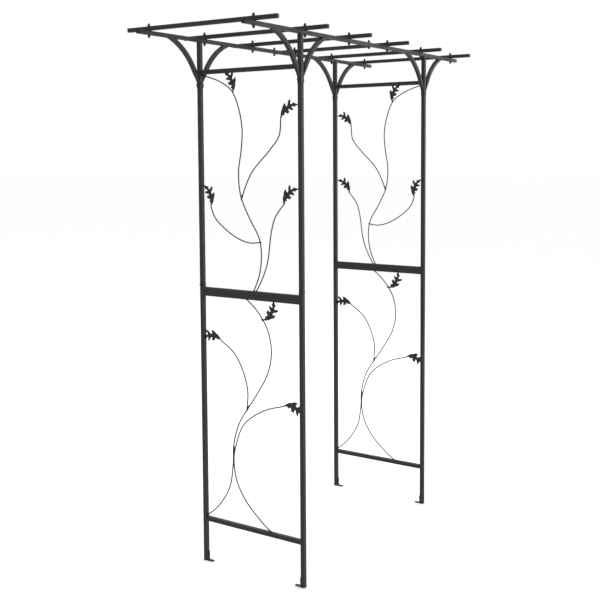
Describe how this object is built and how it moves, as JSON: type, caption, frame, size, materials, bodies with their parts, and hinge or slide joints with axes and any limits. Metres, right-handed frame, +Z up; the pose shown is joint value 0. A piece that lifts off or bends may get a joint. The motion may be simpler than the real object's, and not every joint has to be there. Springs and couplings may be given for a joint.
{
  "type": "garden arch",
  "caption": "Flat-topped steel garden arch with two trellis side panels of bent rod vines and leaves, joined by beams and slats on curved braces.",
  "frame": {"origin": "on the ground, in the middle of the arch", "axes": "+Z up, X across the walkway along the beams, Y through the walkway along the slats, -Y is the front"},
  "size_m": [1.836, 0.708, 2.2448],
  "materials": {
    "frame_paint": "satin charcoal powder coat",
    "roof_paint": "satin charcoal powder coat",
    "vine_paint": "satin charcoal powder coat over bent rod and cut sheet",
    "bolt_black": "black oxide and paint"
  },
  "bodies": {
    "root": {"rail_bottom_left": "frame_paint", "rail_lower_middle_left": "frame_paint", "rail_upper_middle_left": "frame_paint", "rail_top_left": "frame_paint", "vine_lower_left": "vine_paint", "vine_upper_left": "vine_paint", "post_lower_front_left": "frame_paint", "post_upper_front_left": "frame_paint", "foot_front_left": "frame_paint", "beam_front_left": "roof_paint", "brace_outer_front_left": "frame_paint", "brace_inner_front_left": "frame_paint", "brace_bolt_front_left": "bolt_black", "post_lower_back_left": "frame_paint", "post_upper_back_left": "frame_paint", "foot_back_left": "frame_paint", "beam_back_left": "roof_paint", "brace_outer_back_left": "frame_paint", "brace_inner_back_left": "frame_paint", "brace_bolt_back_left": "bolt_black", "rail_bottom_right": "frame_paint", "rail_lower_middle_right": "frame_paint", "rail_upper_middle_right": "frame_paint", "rail_top_right": "frame_paint", "vine_lower_right": "vine_paint", "vine_upper_right": "vine_paint", "post_lower_front_right": "frame_paint", "post_upper_front_right": "frame_paint", "foot_front_right": "frame_paint", "beam_front_right": "roof_paint", "brace_outer_front_right": "frame_paint", "brace_inner_front_right": "frame_paint", "brace_bolt_front_right": "bolt_black", "post_lower_back_right": "frame_paint", "post_upper_back_right": "frame_paint", "foot_back_right": "frame_paint", "beam_back_right": "roof_paint", "brace_outer_back_right": "frame_paint", "brace_inner_back_right": "frame_paint", "brace_bolt_back_right": "bolt_black", "slat_1": "roof_paint", "slat_bolt_1_front": "bolt_black", "slat_bolt_1_back": "bolt_black", "slat_2": "roof_paint", "slat_bolt_2_front": "bolt_black", "slat_bolt_2_back": "bolt_black", "slat_3": "roof_paint", "slat_bolt_3_front": "bolt_black", "slat_bolt_3_back": "bolt_black", "slat_4": "roof_paint", "slat_bolt_4_front": "bolt_black", "slat_bolt_4_back": "bolt_black", "slat_5": "roof_paint", "slat_bolt_5_front": "bolt_black", "slat_bolt_5_back": "bolt_black", "slat_6": "roof_paint", "slat_bolt_6_front": "bolt_black", "slat_bolt_6_back": "bolt_black", "beam_bolt_front": "bolt_black", "beam_bolt_back": "bolt_black"}
  },
  "joints": []
}
